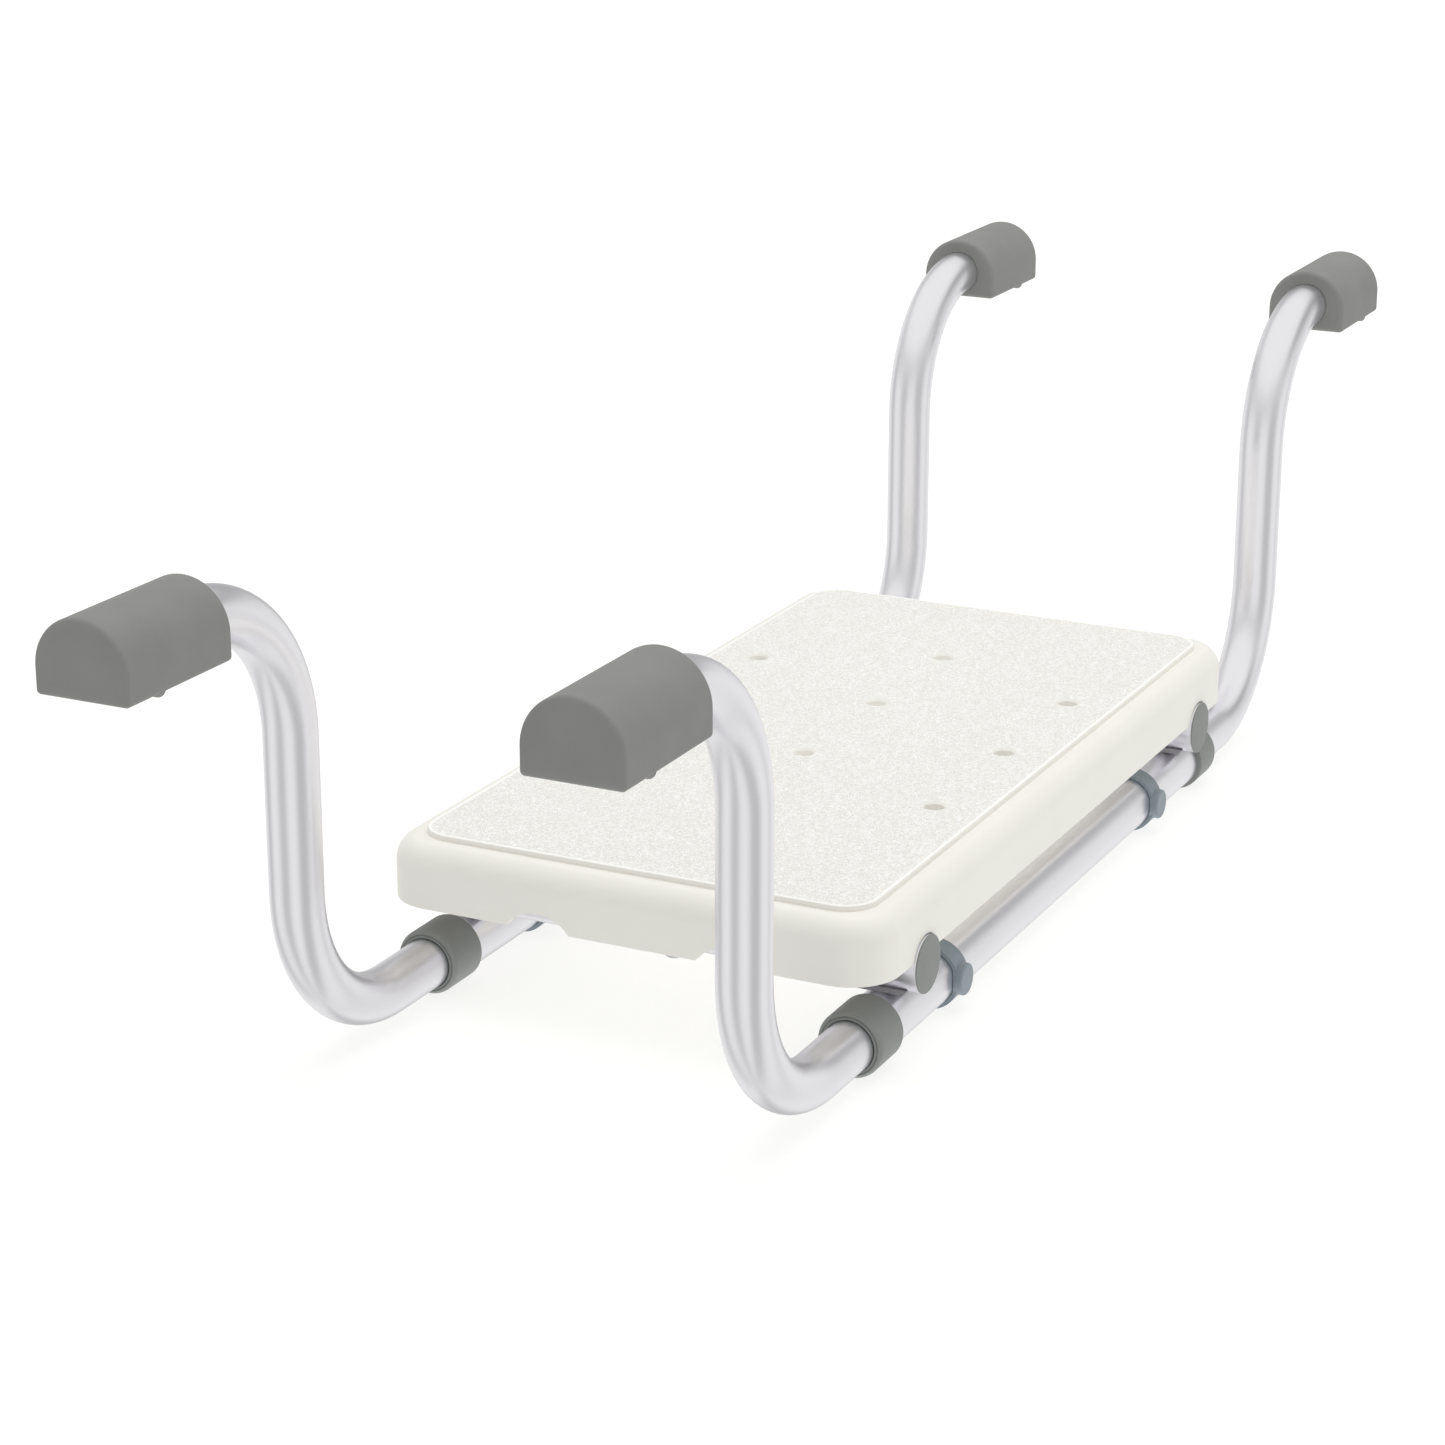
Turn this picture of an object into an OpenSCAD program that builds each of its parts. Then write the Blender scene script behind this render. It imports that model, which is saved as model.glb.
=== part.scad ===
// Adjustable bath seat that hangs between the two rims of a bathtub.
//
// X runs across the tub, Y along it and Z up. The origin is under the middle of the frame,
// level with the underside of the collars. "Near" is -X, "far" is +X, "front" is -Y and
// "rear" is +Y. Four bent arms slide in two rails and are held by clips with pins. Two cross
// tubes lie on the rails and carry the moulded seat board.

/* [Seat board] */
// Length of the board across the tub
seat_length = 397; // [380:1:420]
// Width of the board along the tub
seat_width = 210.6; // [204:0.2:220]
// Height of the board's edge, from the lip of its skirt to the ledge round the panel
seat_height = 25.7; // [24.5:0.1:32]
// Radius of the board's corners in plan
seat_corner_r = 20; // [18:1:26]
// Radius of the rounded upper edge
seat_edge_r = 11; // [8:0.5:14]
// Wall of the top plate and the skirt
seat_wall = 4; // [3:0.5:5]
// Distance from the board's outline to the raised panel
panel_inset = 10.6; // [9:0.2:16]
// Radius of the raised panel's corners in plan
panel_corner_r = 14; // [10:1:16]
// Height of the raised panel above its ledge
panel_rise = 1.2; // [0.6:0.1:2]
// Radius of the raised panel's upper edge
panel_edge_r = 0.5; // [0.2:0.1:0.6]
// Diameter of the drain holes
drain_d = 8.4; // [6:0.2:10]
// Distance between neighbouring columns of drain holes
drain_pitch = 36.4; // [32:0.1:38]
// Distance from the board's middle line to the outer rows of drain holes
drain_row = 73.5; // [66:0.5:78]
// Places of the two arched openings along the near skirt
arch_places = [35.2, -45]; // [-60:0.2:60]
// Width of an arched opening at the lip of the skirt
arch_width = 26.9; // [20:0.1:32]
// Height of an arched opening
arch_height = 6.7; // [4:0.1:9]

/* [Frame] */
// Outside diameter of the rails and the cross tubes
tube_d = 22.5; // [22.2:0.1:22.6]
// Length of a rail
rail_length = 369; // [360:1:374]
// Distance between the two rails
rail_spacing = 180; // [174:1:183]
// Distance between the two cross tubes
cross_spacing = 308.6; // [300:0.2:312]
// Height of the cross tubes above the rails, axis to axis
cross_rise = 22.7; // [22.7:0.1:23.2]
// Outside diameter of a collar
collar_d = 26.4; // [26:0.2:30]
// Length of a collar
collar_length = 20.5; // [16:0.5:22]

/* [Arms and pads] */
// Outside diameter of an arm's tube
arm_d = 20; // [19.6:0.1:20]
// Wall of an arm's tube
arm_wall = 1.5; // [1.2:0.1:2]
// Radius of both bends, to the middle of the tube
bend_r = 59.5; // [50:0.5:62]
// Height of the pads' tubes above the rails, axis to axis
pad_rise = 179.5; // [140:0.5:230]
// Distance between the upright runs of two facing arms when they are pushed fully in
gauge_closed = 514; // [512:1:530]
// Distance between two settings of an arm
index_pitch = 20; // [16:1:22]
// Setting of the arms, from fully in to fully out
index = 1; // [0:1:3]
// Length of a pad
pad_length = 60.8; // [50:0.1:70]
// Width of a pad
pad_width = 36.8; // [32:0.2:44]
// Height of a pad's flat underside below its tube's axis
pad_below = 12.3; // [12:0.1:16]

/* [Clips] */
// Distance between the clips on one rail
clip_spacing = 222; // [214:1:228]
// Width of a clip's band
clip_width = 9.7; // [8:0.1:12]
// Thickness of a clip's band
clip_wall = 1.6; // [1.4:0.1:2.2]
// Diameter of a clip's pin
pin_d = 6; // [5:0.1:6.4]

/* [Hidden] */
$fn = 96;
SIDES = ["near", "far"];
ENDS = ["front", "rear"];
CORNERS = [for (side = SIDES, end = ENDS) str(side, "_", end)];

// Fits
slide_gap = 0.15;
pin_gap = 0.3;
collar_gap = 0.4;
skirt_gap = 0.5;
// Amount by which a cut runs past the face it starts on
past = 1;

// Frame
tube_r = tube_d / 2;
arm_r = arm_d / 2;
rail_bore_r = arm_r + slide_gap;
collar_r = collar_d / 2;
rail_z = collar_r;
cross_z = rail_z + cross_rise;
collar_lip = 5;
collar_edge_r = 2.6;
collar_end = rail_length / 2 + collar_lip;
// The caps' flanges stand a little proud of the seat board's sides
cap_flange = 0.6;
cap_flange_r = tube_r + 0.1;
cap_proud = 1.3;
cap_plug = 9;
cap_wall = 2;
cross_length = seat_width + 2 * (cap_proud - cap_flange);

// Saddle spacers and the rivets through them
spacer_width = 15;
spacer_foot = 18;
spacer_head = 22;
spacer_low = tube_r - 0.05;
spacer_high = tube_r + 2.15;
rivet_r = 2.4;
rivet_head_r = 4.5;
rivet_head_height = 1.8;
rivet_tail_gap = 0.05;

// Arms, in their own frame: the origin is on the rail's axis under the seat's middle
arm_inner = 28;
pad_end_wall = 5;
upright_x = gauge_closed / 2;
bend_start = upright_x - bend_r;
stub_start = upright_x + bend_r;
stub_end = stub_start + pad_length - pad_end_wall;
arm_out = index * index_pitch;
last_index = 3;

// Pads
pad_half = pad_width / 2;
pad_crown_drop = 2.5;
pad_flank = pad_below - pad_crown_drop;
pad_edge_r = 2.5;
bead_r = 2.7;
bead_proud = 1.7;
bead_place = 40;
bead_length = pad_width - 1;

// Clips
clip_bore_r = tube_r + slide_gap;
clip_r = clip_bore_r + clip_wall;
clip_leg = 6;
button_r = 6.4;
button_edge_r = 1;
button_face = 14.8;
pin_r = pin_d / 2;
pin_reach = 2.5;
pin_tip = arm_r - pin_reach;
clip_x = clip_spacing / 2;

// Seat board: its lip is a little above the cross tubes' axes
lip_rise = 4;
lip_z = cross_z + lip_rise;
ledge_z = lip_z + seat_height;
panel_z = ledge_z + panel_rise;
plate_z = ledge_z - seat_wall;
half_length = seat_length / 2;
half_width = seat_width / 2;
rib_wall = 2.5;
bearing_rib_y = 52;
bearing_rib_rise = 7;
bearing_rib_z = cross_z + bearing_rib_rise;
web_rib_depth = 9;
web_rib_z = plate_z - web_rib_depth;
web_rib_y = 18;
web_rib_columns = [0.5, 1.5, 2.5, 3.5];
boss_r = 6.5;
drain_chamfer = 0.8;
arch_r = (pow(arch_width / 2, 2) + pow(arch_height, 2)) / (2 * arch_height);
arch_centre_z = lip_z + arch_height - arch_r;
arch_depth = seat_wall + 2.5;

// Seat screws and their saddle washers
screw_r = 2;
screw_hole_r = 2.3;
screw_head_r = 4;
screw_head_height = 3.2;
screw_head_edge_r = 2.6;
screw_roof = 2;
screw_end_z = plate_z - screw_roof;
washer_r = 5.5;
washer_height = 1.9;
washer_z = cross_z - tube_r - washer_height;

seat_colour = "#F1EEE6";
tube_colour = "#D4D4DA";
rubber_colour = "#838681";
clip_colour = "#87928F";
spacer_colour = "#6E6C72";
steel_colour = "#B9BBBE";

// ---- shared shapes ----

// Two-dimensional rectangle about the origin with round corners
module rounded_rect(x, y, r) {
    square([x - 2 * r, y], center = true);
    square([x, y - 2 * r], center = true);
    for (sx = [-1, 1], sy = [-1, 1])
        translate([sx * (x / 2 - r), sy * (y / 2 - r)])
            circle(r);
}

// Section of a tube
module tube_section(r, wall) {
    difference() {
        circle(r);
        circle(r - wall);
    }
}

// Cylinder that starts at the origin and runs along +X
module bar_x(r, length) {
    rotate([0, 90, 0])
        cylinder(r = r, h = length);
}

// Cylinder along Y, centred on the origin
module bar_y(r, length) {
    rotate([90, 0, 0])
        cylinder(r = r, h = length, center = true);
}

// Shape drawn in Y and Z, pulled along X and centred on the origin
module along_x(length) {
    rotate([90, 0, 90])
        linear_extrude(height = length, center = true)
            children();
}

// Shape drawn in X and Z, pulled along Y and centred on the origin
module along_y(length) {
    rotate([90, 0, 0])
        linear_extrude(height = length, center = true)
            children();
}

// Shape drawn as radius against distance, turned about the X axis
module turned_x(angle = 360) {
    rotate([0, 90, 0])
        rotate([0, 0, 90])
            rotate_extrude(angle = angle)
                children();
}

// Upper outline of a slab: a strip of the given width whose outer upper edge is round
module edge_section(width, height, edge_r) {
    square([width, height - edge_r]);
    square([width - edge_r, height]);
    translate([width - edge_r, height - edge_r])
        intersection() {
            circle(edge_r);
            square(edge_r);
        }
}

// Children and their mirror image across the tub
module both_x() {
    children();
    mirror([1, 0, 0])
        children();
}

// Children and their mirror image along the tub
module both_y() {
    children();
    mirror([0, 1, 0])
        children();
}

// Slab with round corners in plan and a round upper edge, standing on z = 0
module rounded_slab(x, y, height, corner_r, edge_r) {
    straight_x = x - 2 * corner_r;
    straight_y = y - 2 * corner_r;
    translate([-straight_x / 2, -straight_y / 2, 0])
        cube([straight_x, straight_y, height]);
    both_y()
        translate([0, straight_y / 2, 0])
            along_x(straight_x)
                edge_section(corner_r, height, edge_r);
    both_x()
        translate([straight_x / 2, 0, 0])
            along_y(straight_y)
                edge_section(corner_r, height, edge_r);
    both_x()
        both_y()
            translate([straight_x / 2, straight_y / 2, 0])
                rotate_extrude(angle = 90)
                    edge_section(corner_r, height, edge_r);
}

// Puts a corner piece that is drawn on the far side at its own corner: side and end are -1 or 1
module at_corner(side, end) {
    translate([0, end * rail_spacing / 2, rail_z])
        mirror([side < 0 ? 1 : 0, 0, 0])
            children();
}

// ---- frame ----

// Rail: drawn aluminium tube that guides two arms, pierced for the clip pins and the rivets
module rail(end) {
    color(tube_colour)
        translate([0, end * rail_spacing / 2, rail_z])
            difference() {
                along_x(rail_length)
                    tube_section(tube_r, tube_r - rail_bore_r);
                for (side = [-1, 1]) {
                    translate([side * clip_x, -tube_r, 0])
                        bar_y(pin_r + pin_gap, tube_r);
                    translate([side * cross_spacing / 2, 0, 0])
                        cylinder(r = rivet_r, h = cross_rise);
                }
            }
}

// Cross tube: carries the board, with two rivet holes below and a screw hole right through
module cross_tube(side) {
    color(tube_colour)
        translate([side * cross_spacing / 2, 0, cross_z])
            difference() {
                along_y(cross_length)
                    tube_section(tube_r, tube_r - rail_bore_r);
                for (end = [-1, 1])
                    translate([0, end * rail_spacing / 2, -cross_rise])
                        cylinder(r = rivet_r, h = cross_rise);
                cylinder(r = screw_hole_r, h = 2 * tube_d, center = true);
            }
}

// Saddle spacer: beds a cross tube on a rail, hollowed to fit both
module spacer(side, end) {
    color(spacer_colour)
        at_corner(side, end)
            translate([cross_spacing / 2, 0, 0])
                difference() {
                    along_x(spacer_width)
                        polygon([
                            [-spacer_foot / 2, spacer_low],
                            [spacer_foot / 2, spacer_low],
                            [spacer_head / 2, spacer_high],
                            [-spacer_head / 2, spacer_high]
                        ]);
                    translate([-spacer_width, 0, 0])
                        bar_x(tube_r, 2 * spacer_width);
                    translate([0, 0, cross_rise])
                        bar_y(tube_r, 2 * spacer_head);
                    cylinder(r = rivet_r, h = cross_rise);
                }
}

// Rivets: each joins a cross tube's lower wall, a spacer and a rail's upper wall. The head
// beds in the cross tube's bore, and the tail ends flush in the rail's wall.
module frame_rivets() {
    color(steel_colour)
        for (side = [-1, 1], end = [-1, 1])
            translate([side * cross_spacing / 2, end * rail_spacing / 2, cross_z])
                rivet();
}

module rivet() {
    head_z = -rail_bore_r + rivet_head_height;
    tail_z = rail_bore_r + rivet_tail_gap - cross_rise;
    translate([0, 0, tail_z])
        cylinder(r = rivet_r, h = head_z - tail_z);
    intersection() {
        translate([0, 0, -tube_r])
            cylinder(r = rivet_head_r, h = tube_r + head_z);
        bar_y(rail_bore_r, 2 * tube_d);
    }
}

// End cap: plug with a flange that closes a cross tube
module end_cap(side, end) {
    color(rubber_colour)
        translate([side * cross_spacing / 2, end * cross_length / 2, cross_z])
            rotate([-90 * end, 0, 0]) {
                cylinder(r = cap_flange_r, h = cap_flange);
                translate([0, 0, -cap_plug])
                    linear_extrude(height = cap_plug)
                        tube_section(rail_bore_r, cap_wall);
            }
}

// Collar: bush pressed over a rail's end, with a lip in front of it that wipes the arm
module collar(side, end) {
    lip_bore_r = arm_r + collar_gap;
    color(rubber_colour)
        at_corner(side, end)
            translate([collar_end - collar_length, 0, 0])
                turned_x()
                    difference() {
                        translate([lip_bore_r, 0])
                            edge_section(collar_r - lip_bore_r, collar_length, collar_edge_r);
                        translate([0, -past])
                            square([tube_r, collar_length - collar_lip + past]);
                    }
}

// ---- arms, pads and clips ----

// Moves a piece of an arm outward to the arm's setting
module at_setting() {
    translate([arm_out, 0, 0])
        children();
}

// Quarter bend of the arm's tube in the X-Z plane, about a centre and from a start angle
module arm_bend(x, z, start) {
    translate([x, 0, z])
        rotate([90, 0, 0])
            rotate([0, 0, start])
                rotate_extrude(angle = 90)
                    translate([bend_r, 0])
                        tube_section(arm_r, arm_wall);
}

// Straight run of the arm's tube along X between two places
module arm_run(x0, x1) {
    translate([(x0 + x1) / 2, 0, 0])
        along_x(x1 - x0)
            tube_section(arm_r, arm_wall);
}

// Long hole through the arm's front wall that the clip's pin stands in at every setting
module pin_slot() {
    first = clip_x - last_index * index_pitch;
    slot_r = pin_r + pin_gap;
    translate([0, -arm_r, 0])
        along_y(arm_r) {
            for (x = [first, clip_x])
                translate([x, 0])
                    circle(slot_r);
            translate([first, -slot_r])
                square([clip_x - first, 2 * slot_r]);
        }
}

// Arm: one tube that slides in the rail, bends up and bends out again over the tub's rim
module arm(side, end) {
    color(tube_colour)
        at_corner(side, end)
            at_setting()
                difference() {
                    union() {
                        arm_run(arm_inner, bend_start);
                        arm_bend(bend_start, bend_r, -90);
                        translate([upright_x, 0, bend_r])
                            linear_extrude(height = pad_rise - 2 * bend_r)
                                tube_section(arm_r, arm_wall);
                        arm_bend(stub_start, pad_rise - bend_r, 90);
                        translate([0, 0, pad_rise])
                            arm_run(stub_start, stub_end);
                    }
                    pin_slot();
                }
}

// Pad: rubber foot on the arm's end, domed above and flat below, with a grip bead across it
module pad(side, end) {
    color(rubber_colour)
        at_corner(side, end)
            at_setting()
                translate([stub_start, 0, pad_rise])
                    difference() {
                        union() {
                            translate([0, 0, -pad_crown_drop])
                                turned_x(180)
                                    pad_outline();
                            translate([pad_length / 2, 0, -pad_below])
                                linear_extrude(height = pad_flank)
                                    rounded_rect(pad_length, pad_width, pad_edge_r);
                            translate([bead_place, 0, bead_r - bead_proud - pad_below])
                                bar_y(bead_r, bead_length);
                        }
                        translate([-past, 0, 0])
                            bar_x(arm_r, stub_end - stub_start + past);
                    }
}

// Half the pad's plan, as radius against length
module pad_outline() {
    translate([0, pad_length / 2])
        intersection() {
            rounded_rect(pad_width, pad_length, pad_edge_r);
            translate([0, -pad_length / 2])
                square([pad_half, pad_length]);
        }
}

// Clip: sprung band that straddles the rail, with a thumb button and the pin that locks the arm
module clip(side, end) {
    color(clip_colour)
        at_corner(side, end)
            translate([clip_x, 0, 0]) {
                difference() {
                    union() {
                        along_x(clip_width) {
                            circle(clip_r);
                            translate([0, -clip_r])
                                square([clip_leg, 2 * clip_r]);
                        }
                        rotate([90, 0, 0])
                            rotate_extrude()
                                edge_section(button_r, button_face, button_edge_r);
                    }
                    along_x(2 * clip_width) {
                        circle(clip_bore_r);
                        translate([0, -clip_bore_r])
                            square([clip_r, 2 * clip_bore_r]);
                    }
                }
                translate([0, -(pin_tip + clip_r) / 2, 0])
                    bar_y(pin_r, clip_r - pin_tip);
            }
}

// ---- seat board ----

// Seat board: moulded shell with a raised panel, drain holes, ribs and screw bosses
module seat_board() {
    color(seat_colour)
        difference() {
            union() {
                seat_shell();
                seat_underside();
            }
            for (side = [-1, 1])
                translate([side * cross_spacing / 2, 0, cross_z]) {
                    bar_y(tube_r, seat_width);
                    for (end = [-1, 1])
                        translate([0, end * half_width, 0])
                            bar_y(cap_flange_r + skirt_gap, 2 * (seat_wall + past));
                }
            drain_holes();
            screw_pilots();
            for (place = arch_places)
                translate([-half_length - past, place, arch_centre_z])
                    bar_x(arch_r, arch_depth + past);
        }
}

// Outer skin of the board: top plate, skirt and raised panel
module seat_shell() {
    inner_corner_r = seat_corner_r - seat_wall;
    inner_edge_r = seat_edge_r - seat_wall;
    difference() {
        translate([0, 0, lip_z])
            rounded_slab(seat_length, seat_width, seat_height, seat_corner_r, seat_edge_r);
        translate([0, 0, lip_z - past])
            rounded_slab(seat_length - 2 * seat_wall, seat_width - 2 * seat_wall,
                seat_height - seat_wall + past, inner_corner_r, inner_edge_r);
    }
    translate([0, 0, plate_z])
        rounded_slab(seat_length - 2 * panel_inset, seat_width - 2 * panel_inset,
            panel_z - plate_z, panel_corner_r, panel_edge_r);
}

// Ribs under the top plate, and a boss over each cross tube for its screw
module seat_underside() {
    for (end = [-1, 1]) {
        rib(seat_length, 0, end * bearing_rib_y, bearing_rib_z);
        rib(seat_length, 0, end * web_rib_y, web_rib_z);
    }
    for (side = [-1, 1])
        translate([side * cross_spacing / 2, 0, bearing_rib_z])
            cylinder(r = boss_r, h = plate_z + past - bearing_rib_z);
    for (side = [-1, 1], column = web_rib_columns)
        rib(seat_width, 90, -side * column * drain_pitch, web_rib_z);
}

// Upright rib between two walls of the shell. Its ends and top edge reach half way into the
// wall, and follow its round edge.
module rib(board, turn, offset, z) {
    reach = board / 2 - seat_wall / 2;
    height = ledge_z - seat_wall / 2 - z;
    rotate([0, 0, turn])
        translate([0, offset, z])
            both_x()
                along_y(rib_wall)
                    edge_section(reach, height, seat_edge_r - seat_wall / 2);
}

// Ten drain holes: two outer rows of three, and a middle row of four between their columns
module drain_holes() {
    places = concat(
        [for (column = [-2, 0, 2], row = [-1, 1]) [column * drain_pitch, row * drain_row]],
        [for (column = [-3, -1, 1, 3]) [column * drain_pitch, 0]]
    );
    for (place = places)
        translate([place[0], place[1], 0]) {
            translate([0, 0, plate_z - past])
                cylinder(d = drain_d, h = panel_z - plate_z + 2 * past);
            translate([0, 0, panel_z - drain_chamfer])
                cylinder(d1 = drain_d, d2 = drain_d + 4 * drain_chamfer, h = 2 * drain_chamfer);
        }
}

// Blind holes that the seat screws cut their threads in
module screw_pilots() {
    for (side = [-1, 1])
        translate([side * cross_spacing / 2, 0, cross_z])
            cylinder(r = screw_r, h = screw_end_z - cross_z);
}

// Screws: each runs up through a washer and a cross tube into a boss of the board
module seat_screws() {
    color(steel_colour)
        for (side = [-1, 1])
            translate([side * cross_spacing / 2, 0, washer_z]) {
                cylinder(r = screw_r, h = screw_end_z - washer_z);
                mirror([0, 0, 1])
                    rotate_extrude()
                        edge_section(screw_head_r, screw_head_height, screw_head_edge_r);
            }
}

// Saddle washer: beds a screw's flat head on the round underside of a cross tube
module washer(side) {
    color(spacer_colour)
        translate([side * cross_spacing / 2, 0, 0])
            difference() {
                translate([0, 0, washer_z])
                    cylinder(r = washer_r, h = tube_r);
                cylinder(r = screw_hole_r, h = cross_z);
                translate([0, 0, cross_z])
                    bar_y(tube_r, 4 * washer_r);
            }
}

// ---- assembly ----

seat_board();
seat_screws();
frame_rivets();
for (e = [0, 1]) {
    end = 2 * e - 1;
    rail(end);
}
for (s = [0, 1]) {
    side = 2 * s - 1;
    cross_tube(side);
    washer(side);
}
for (s = [0, 1], e = [0, 1]) {
    side = 2 * s - 1;
    end = 2 * e - 1;
    corner = str(SIDES[s], "_", ENDS[e]);
    arm(side, end);
    pad(side, end);
    collar(side, end);
    clip(side, end);
    spacer(side, end);
    end_cap(side, end);
}
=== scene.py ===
"""Bath seat that hangs between the rims of a bathtub: a moulded board on a frame of aluminium
tubes, with four sliding arms. Built in the order in which the seat is put together."""

import math

import bmesh
import bpy
from mathutils import Matrix, Vector


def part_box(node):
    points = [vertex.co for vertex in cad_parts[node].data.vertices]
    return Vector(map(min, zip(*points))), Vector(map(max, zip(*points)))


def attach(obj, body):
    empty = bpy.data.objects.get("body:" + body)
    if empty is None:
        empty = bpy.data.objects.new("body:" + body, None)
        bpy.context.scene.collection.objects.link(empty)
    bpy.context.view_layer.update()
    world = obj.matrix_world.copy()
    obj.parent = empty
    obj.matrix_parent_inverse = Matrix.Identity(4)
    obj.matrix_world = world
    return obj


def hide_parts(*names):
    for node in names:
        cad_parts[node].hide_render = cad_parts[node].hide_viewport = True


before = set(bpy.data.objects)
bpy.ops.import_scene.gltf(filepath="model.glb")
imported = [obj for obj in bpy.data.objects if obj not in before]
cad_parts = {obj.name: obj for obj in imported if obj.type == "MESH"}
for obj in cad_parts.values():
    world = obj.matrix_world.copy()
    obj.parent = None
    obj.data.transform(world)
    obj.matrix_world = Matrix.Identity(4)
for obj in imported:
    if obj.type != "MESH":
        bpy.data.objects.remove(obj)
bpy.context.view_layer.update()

# ---- Camera ----
# A long lens, a little above the pads, that looks along the seat from its near front corner.
# Its shift keeps the uprights nearly parallel.
camera_data = bpy.data.cameras.new("camera")
camera_data.sensor_width = 36
camera_data.lens = 86.882
camera_data.shift_x = -0.01499
camera_data.shift_y = -0.00581
camera_data.clip_start = 0.05
camera = bpy.data.objects.new("camera", camera_data)
place = Vector((-1.26440, -0.57024, 0.53096))
right = Vector((0.438404, -0.898774, 0.002662))
up = Vector((0.281235, 0.139993, 0.949373))
turn = Matrix((right, up, right.cross(up))).transposed().to_4x4()
camera.matrix_world = Matrix.Translation(place) @ turn
bpy.context.scene.collection.objects.link(camera)
bpy.context.scene.camera = camera


# ---- Rails ----
# The two lowest tubes of the frame, which the arms slide in. They are drawn aluminium,
# etched to a satin and anodised clear, cut square with the edges just broken, and drilled in
# front for the clips' pins.
SIDES = {"near": -1, "far": 1}
ENDS = {"front": -1, "rear": 1}


def linear(code):
    """Linear colour of an sRGB hex value."""
    parts = [int(code[i:i + 2], 16) / 255 for i in (1, 3, 5)]
    return [p / 12.92 if p <= 0.04045 else ((p + 0.055) / 1.055) ** 2.4 for p in parts] + [1]


def add_node(tree, kind, links=None, values=None, **settings):
    """Adds a node with its settings, its sockets' values and the sockets that feed it."""
    node = tree.nodes.new(kind)
    for name, value in settings.items():
        setattr(node, name, value)
    for socket, value in (values or {}).items():
        node.inputs[socket].default_value = value
    for socket, source in (links or {}).items():
        tree.links.new(source, node.inputs[socket])
    return node


def start_material(name, colour, roughness, **values):
    """New material with one shader, whose constants are set on its own sockets."""
    material = bpy.data.materials.new(name)
    material.use_nodes = True
    material.diffuse_color = linear(colour)
    tree = material.node_tree
    tree.nodes.clear()
    shader = add_node(tree, "ShaderNodeBsdfPrincipled", values={
        "Base Color": linear(colour), "Roughness": roughness,
        **{socket.replace("_", " "): value for socket, value in values.items()}})
    add_node(tree, "ShaderNodeOutputMaterial", links={"Surface": shader.outputs["BSDF"]})
    return material, tree, shader


def place_of(item):
    """Place of a point, or the middle of an edge or a face, as a sorting key."""
    verts = [item] if isinstance(item, bmesh.types.BMVert) else list(item.verts)
    return [round(value, 7) for value in sum((vert.co for vert in verts), Vector()) / len(verts)]


def number_alike(bm):
    """Numbers the points, edges and faces by their place, because the operators leave them in an
    order that changes from run to run."""
    for elements in (bm.verts, bm.edges, bm.faces):
        for number, item in enumerate(sorted(elements, key=place_of)):
            item.index = number
        elements.sort()


def finish_piece(name, bm, materials, body, node, sharp=30):
    """Turns a bmesh into the piece that stands for a CAD node and rides on its body."""
    bmesh.ops.remove_doubles(bm, verts=bm.verts, dist=1e-6)
    bmesh.ops.recalc_face_normals(bm, faces=bm.faces)
    number_alike(bm)
    mesh = bpy.data.meshes.new(name)
    bm.to_mesh(mesh)
    bm.free()
    mesh.shade_smooth()
    mesh.set_sharp_from_angle(angle=math.radians(sharp))
    for material in materials:
        mesh.materials.append(material)
    piece = bpy.data.objects.new(name, mesh)
    bpy.context.scene.collection.objects.link(piece)
    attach(piece, body)
    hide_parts(node)
    return piece


def add_modifier(piece, kind, **settings):
    """Adds a modifier with its settings."""
    modifier = piece.modifiers.new(kind.title(), kind)
    for name, value in settings.items():
        setattr(modifier, name, value)


def middle(node):
    """Middle of a CAD node's box."""
    low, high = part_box(node)
    return (Vector(low) + Vector(high)) / 2


DRAWN_LINE = 0.0008
DRAWN_LENGTH = 0.08


def satin_aluminium():
    """Clear anodised aluminium, drawn and etched. The etch blurs what it mirrors into broad soft
    streaks. Drawing lines of about 0.1 mm are drawn 0.8 mm wide, so that they show."""
    material, tree, shader = start_material(
        "aluminium_drawn_satin_anodised", "#F2F1F6", 0.32, Metallic=1.0)
    place = add_node(tree, "ShaderNodeAttribute", attribute_name="along_tube")
    lines = add_node(tree, "ShaderNodeMapping", links={"Vector": place.outputs["Vector"]},
                     values={"Scale": (1 / DRAWN_LINE, 1 / DRAWN_LINE, 1 / DRAWN_LENGTH)})
    noise = add_node(tree, "ShaderNodeTexNoise", links={"Vector": lines.outputs["Vector"]},
                     values={"Scale": 1.0, "Detail": 2.0})
    rough = add_node(tree, "ShaderNodeMapRange", links={"Value": noise.outputs["Fac"]},
                     values={"From Min": 0.3, "From Max": 0.7, "To Min": 0.3, "To Max": 0.34})
    tree.links.new(rough.outputs["Result"], shader.inputs["Roughness"])
    return material


aluminium = satin_aluminium()
TUBE_SEGMENTS = 96
TUBE_WALL = 0.0011
EDGE_BREAK = 0.00025
BEND_PARTS = 24
STRAIGHT_PART = 0.02


def verts_in(geom):
    """The vertices among what an operator made."""
    return [item for item in geom if isinstance(item, bmesh.types.BMVert)]


def edges_between(geom, verts):
    """The edges among what an operator made that join two of the given vertices."""
    return [item for item in geom if isinstance(item, bmesh.types.BMEdge)
            and all(vert in verts for vert in item.verts)]


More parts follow.
